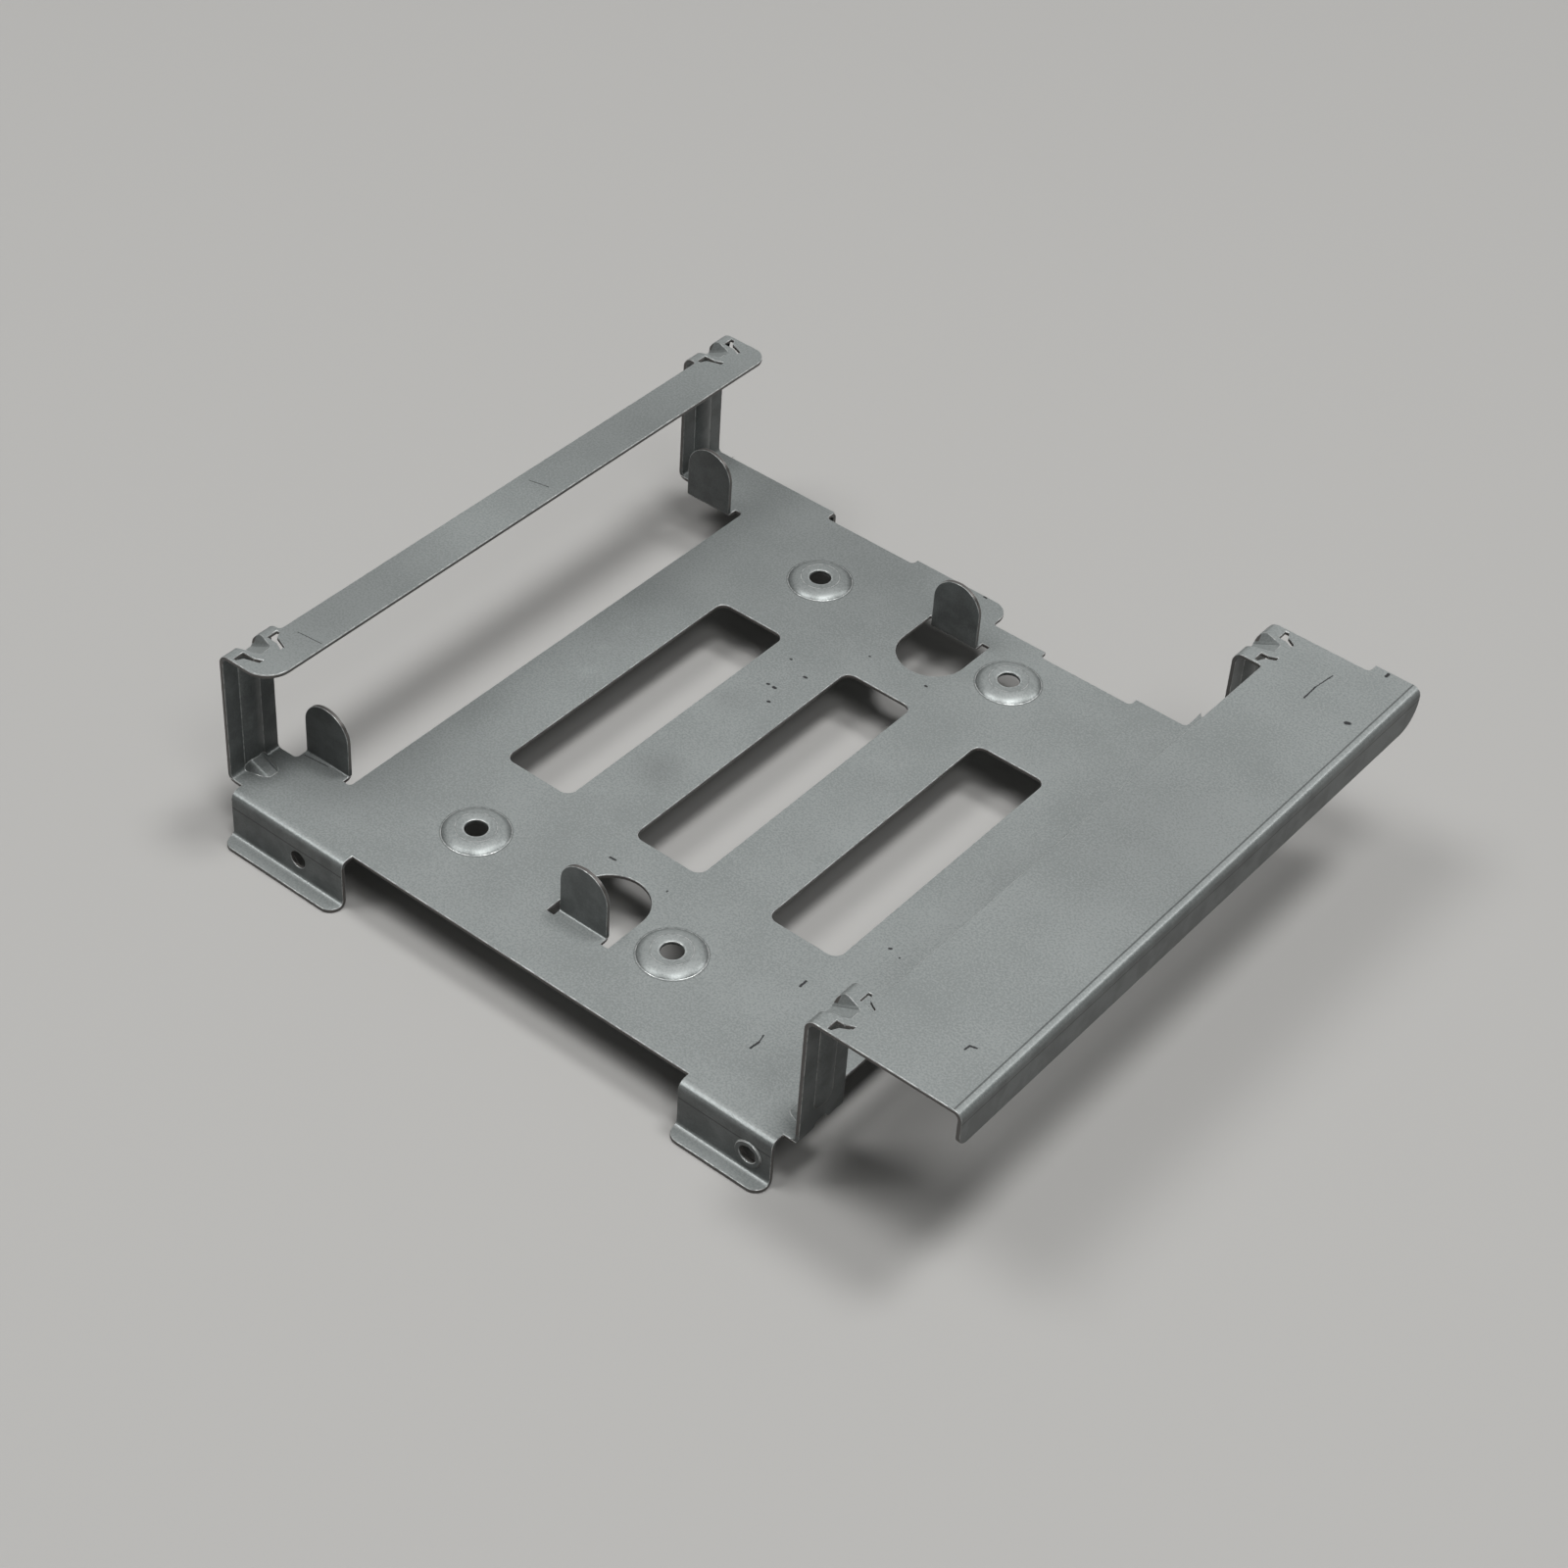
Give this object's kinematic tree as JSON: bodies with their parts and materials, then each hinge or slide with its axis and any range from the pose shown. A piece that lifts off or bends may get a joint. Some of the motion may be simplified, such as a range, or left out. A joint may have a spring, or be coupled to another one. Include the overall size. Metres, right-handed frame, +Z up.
{
  "type": "hard drive cage",
  "caption": "Folded sheet steel cage that carries a 3.5 inch hard drive on raised screw seats, between upright tabs, with a rail above it, a shelf beside it and feet for the case floor",
  "frame": {"origin": "middle of the four drive screws, on the plane where the drive rests on its seats", "axes": "+X along the drive from the rail to the shelf, +Y across the drive from its near side to its far side, +Z up"},
  "size_m": [0.1574, 0.1421, 0.0385],
  "materials": {
    "zinc_sheet": "zinc coated sheet steel, satin and lightly scuffed"
  },
  "bodies": {
    "root": {"drive_cage": "zinc_sheet"}
  },
  "joints": []
}
